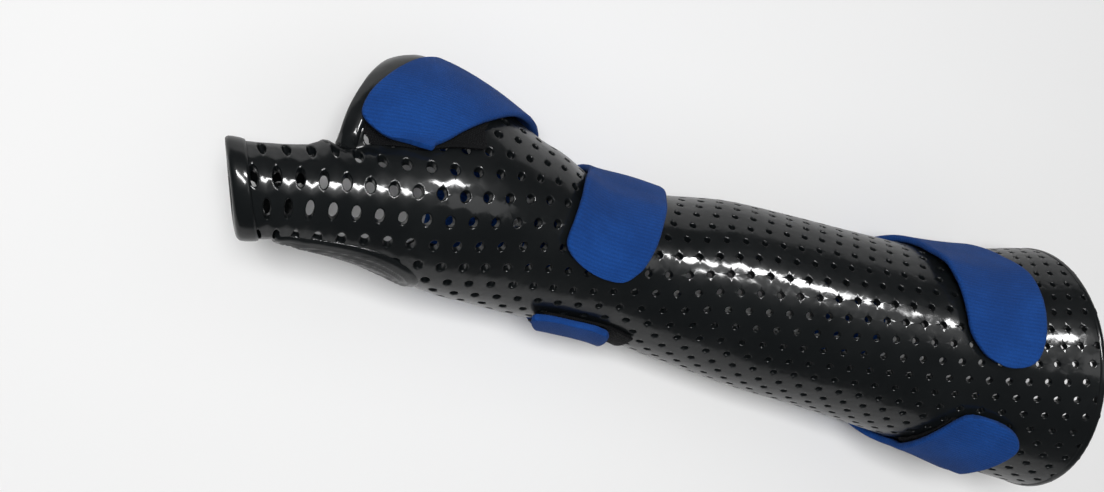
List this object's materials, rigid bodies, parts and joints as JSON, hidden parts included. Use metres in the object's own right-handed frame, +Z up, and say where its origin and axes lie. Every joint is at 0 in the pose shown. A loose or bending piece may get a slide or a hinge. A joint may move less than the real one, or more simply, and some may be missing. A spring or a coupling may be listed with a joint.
{
  "type": "thermoplastic hand splint",
  "caption": "Glossy perforated thermoplastic trough splint for wrist and thumb, with a thumb tube, open along the little-finger side and closed by loop straps on hook patches.",
  "frame": {"origin": "centre of the bounding box in X and Y, at the level of the flat undersides of the straps that it lies on", "axes": "+X from the thumb mouth to the elbow end, +Y to the back of the hand, +Z up to the thumb side"},
  "size_m": [0.2569, 0.0757, 0.0794],
  "materials": {
    "thermoplastic": "glossy black moulded sheet, perforated all over",
    "strap_cloth": "royal blue brushed loop cloth, finely ribbed",
    "hook_tape": "black hook tape"
  },
  "bodies": {
    "root": {"shell": "thermoplastic", "hand_strap": "strap_cloth", "wrist_strap": "strap_cloth", "forearm_strap": "strap_cloth", "hand_hook_back_side": "hook_tape", "hand_hook_palm_side": "hook_tape", "wrist_hook_thumb_side": "hook_tape", "wrist_hook_palm_side": "hook_tape", "forearm_hook_thumb_side": "hook_tape", "forearm_hook_palm_side": "hook_tape"}
  },
  "joints": []
}
